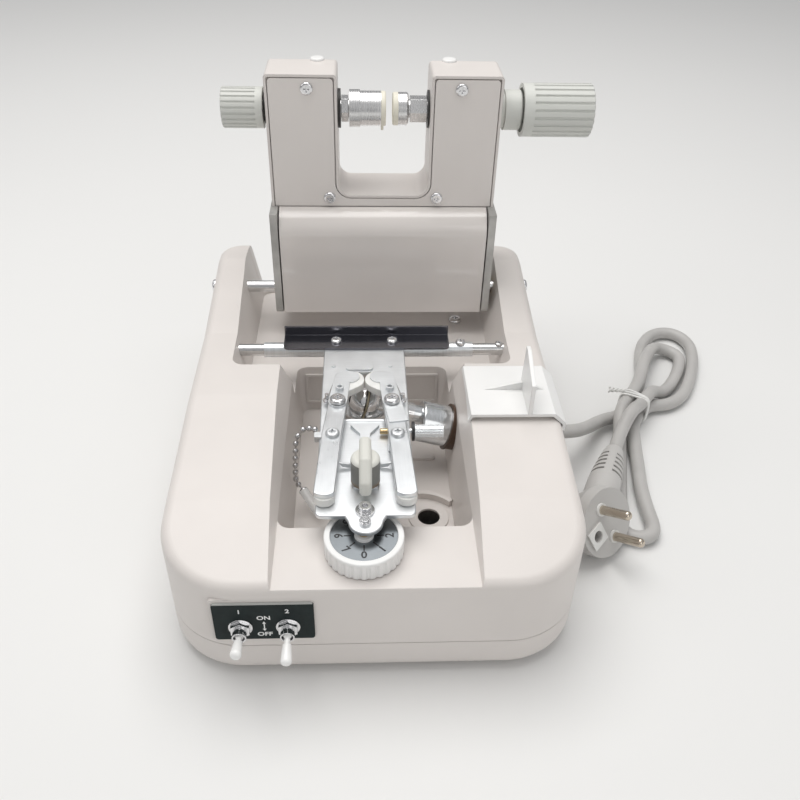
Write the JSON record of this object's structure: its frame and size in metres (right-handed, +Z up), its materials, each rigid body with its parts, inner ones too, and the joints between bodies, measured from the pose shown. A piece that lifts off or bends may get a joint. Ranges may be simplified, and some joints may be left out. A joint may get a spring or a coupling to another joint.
{
  "type": "lens groover",
  "caption": "Table machine for grooving spectacle lens rims: hinged lens head with chucks, grooving wheel, guide plate with arms, depth dial, switches, mains cord.",
  "frame": {"origin": "on the table, under the middle of the housing", "axes": "+X to the right of a person who faces the switches, +Y away from that person, +Z up"},
  "size_m": [0.3292, 0.3003, 0.2029],
  "materials": {
    "housing": "satin",
    "shell": "satin",
    "white": "satin",
    "rubber": "matte",
    "screw": "polished",
    "steel": "ground",
    "plate_steel": "satin nickel",
    "aluminium": "turned",
    "switch_plate": "printed",
    "switch": "plated",
    "cast_grey": "bare casting",
    "knob": "satin",
    "pad": "smooth",
    "nylon": "smooth",
    "cord": "smooth",
    "brown": "matte",
    "brass": "turned",
    "black": "matte",
    "chain": "polished",
    "electrics": "lacquered"
  },
  "bodies": {
    "body": {"bottom_shell": "shell", "housing": "housing", "rubber_feet": "rubber", "case_screws": "screw", "switch_plate": "switch_plate", "switch_bodies": "switch", "hinge_shaft": "steel", "wheel_motor": "steel", "motor_grommet": "brown", "wheel_guard": "steel", "power_supply": "electrics", "cord_gland": "cord", "power_cord": "cord", "cord_tie": "white", "plug_body": "cord", "plug_pins": "brass", "guide_rod": "steel"},
    "head_carriage": {"head_bushes": "brass"},
    "lens_head": {"head_shell": "housing", "head_front_plate": "housing", "head_plate_screws": "screw", "head_cover": "housing", "side_plates": "cast_grey", "head_plugs": "white", "lens_motor": "electrics", "drive_belts": "black", "spindle_bearings": "black", "clamp_collar": "aluminium"},
    "left_chuck_set": {"left_knob": "knob", "left_spindle": "steel", "left_chuck": "aluminium", "left_pad": "pad"},
    "drive_set": {"drive_shaft": "steel"},
    "clamp_set": {"clamp_quill": "steel"},
    "clamp_knob_set": {"right_knob": "knob"},
    "right_chuck_set": {"right_spindle": "steel", "right_chuck": "aluminium", "right_pad": "pad"},
    "wheel_set": {"wheel_spindle": "steel", "grinding_wheel": "aluminium"},
    "dial_set": {"depth_dial": "white"},
    "stem_set": {"depth_stem": "brass"},
    "guide_set": {"guide_sleeve": "steel", "guide_plate": "plate_steel", "splash_bracket": "plate_steel", "guide_plate_screws": "screw", "selector_plate": "plate_steel", "arm_pivots": "screw", "ball_chain": "chain"},
    "left_arm_set": {"left_arm": "plate_steel", "left_shoe_plate": "plate_steel", "left_shoe": "nylon"},
    "right_arm_set": {"right_arm": "plate_steel", "right_shoe_plate": "plate_steel", "right_shoe": "nylon"},
    "mode_set": {"mode_knob": "knob"},
    "position_set": {"position_screw": "brass"},
    "lens_lever_set": {"lens_switch_lever": "white"},
    "wheel_lever_set": {"wheel_switch_lever": "white"},
    "cover_set": {"motor_cover": "white"}
  },
  "joints": [
    {"name": "head_slide", "type": "slide", "parent": "body", "child": "head_carriage", "axis": [1, 0, 0], "range_m": [-0.0135, 0]},
    {"name": "head_swing", "type": "hinge", "parent": "head_carriage", "child": "lens_head", "pos_m": [0, 0.0955, 0.0723], "axis": [-1, 0, 0], "range_deg": [-73, 0]},
    {"name": "left_spin", "type": "hinge", "parent": "lens_head", "child": "left_chuck_set", "pos_m": [0, 0.106, 0.1788], "axis": [1, 0, 0], "continuous": true},
    {"name": "drive_spin", "type": "hinge", "parent": "lens_head", "child": "drive_set", "pos_m": [0, 0.106, 0.092], "axis": [1, 0, 0], "continuous": true},
    {"name": "clamp_travel", "type": "slide", "parent": "lens_head", "child": "clamp_set", "axis": [1, 0, 0], "range_m": [-0.0035, 0]},
    {"name": "clamp_turn", "type": "hinge", "parent": "clamp_set", "child": "clamp_knob_set", "pos_m": [0.1, 0.106, 0.1788], "axis": [1, 0, 0], "range_deg": [-315, 0]},
    {"name": "right_spin", "type": "hinge", "parent": "clamp_set", "child": "right_chuck_set", "pos_m": [0.03, 0.106, 0.1788], "axis": [1, 0, 0], "continuous": true},
    {"name": "wheel_spin", "type": "hinge", "parent": "body", "child": "wheel_set", "pos_m": [-0.0044, -0.011, 0.0635], "axis": [0.9636, 0, -0.2672], "continuous": true},
    {"name": "dial_turn", "type": "hinge", "parent": "body", "child": "dial_set", "pos_m": [-0.0052, -0.1095, 0.06], "axis": [0, 0, 1], "range_deg": [-315, 0]},
    {"name": "stem_travel", "type": "slide", "parent": "body", "child": "stem_set", "axis": [0, 0, 1], "range_m": [-0.0007, 0]},
    {"name": "plate_lift", "type": "hinge", "parent": "body", "child": "guide_set", "pos_m": [0, 0.034, 0.0665], "axis": [-1, 0, 0], "range_deg": [0, 60]},
    {"name": "left_arm_squeeze", "type": "hinge", "parent": "guide_set", "child": "left_arm_set", "pos_m": [-0.0178, -0.0318, 0.078], "axis": [0, 0, 1], "range_deg": [0, 4.5], "stiffness_Nm_per_rad": 0.05, "springref_deg": -11.46},
    {"name": "right_arm_squeeze", "type": "hinge", "parent": "guide_set", "child": "right_arm_set", "pos_m": [0.009, -0.0318, 0.078], "axis": [0, 0, 1], "range_deg": [-4.5, 0]},
    {"name": "mode_turn", "type": "hinge", "parent": "guide_set", "child": "mode_set", "pos_m": [-0.0044, -0.083, 0.08], "axis": [0, 0, 1], "range_deg": [-30, 30]},
    {"name": "position_turn", "type": "hinge", "parent": "right_arm_set", "child": "position_set", "pos_m": [0.01, -0.0495, 0.0754], "axis": [1, 0, 0], "range_deg": [-180, 180]},
    {"name": "lens_switch", "type": "hinge", "parent": "body", "child": "lens_lever_set", "pos_m": [-0.0584, -0.1374, 0.0363], "axis": [1, 0, 0], "range_deg": [0, 26]},
    {"name": "wheel_switch", "type": "hinge", "parent": "body", "child": "wheel_lever_set", "pos_m": [-0.038, -0.1374, 0.0363], "axis": [1, 0, 0], "range_deg": [-26, 0]},
    {"name": "cover_lift", "type": "slide", "parent": "body", "child": "cover_set", "axis": [0, 0, 1], "range_m": [0, 0.04]}
  ],
  "couplings": [
    {"joint": "drive_spin", "follows": "left_spin", "ratio": 1.25},
    {"joint": "right_spin", "follows": "left_spin", "ratio": 1},
    {"joint": "clamp_turn", "follows": "clamp_travel", "rad_per_m": 1570.8},
    {"joint": "stem_travel", "follows": "dial_turn", "m_per_rad": 0.00012732},
    {"joint": "right_arm_squeeze", "follows": "left_arm_squeeze", "ratio": -1}
  ]
}
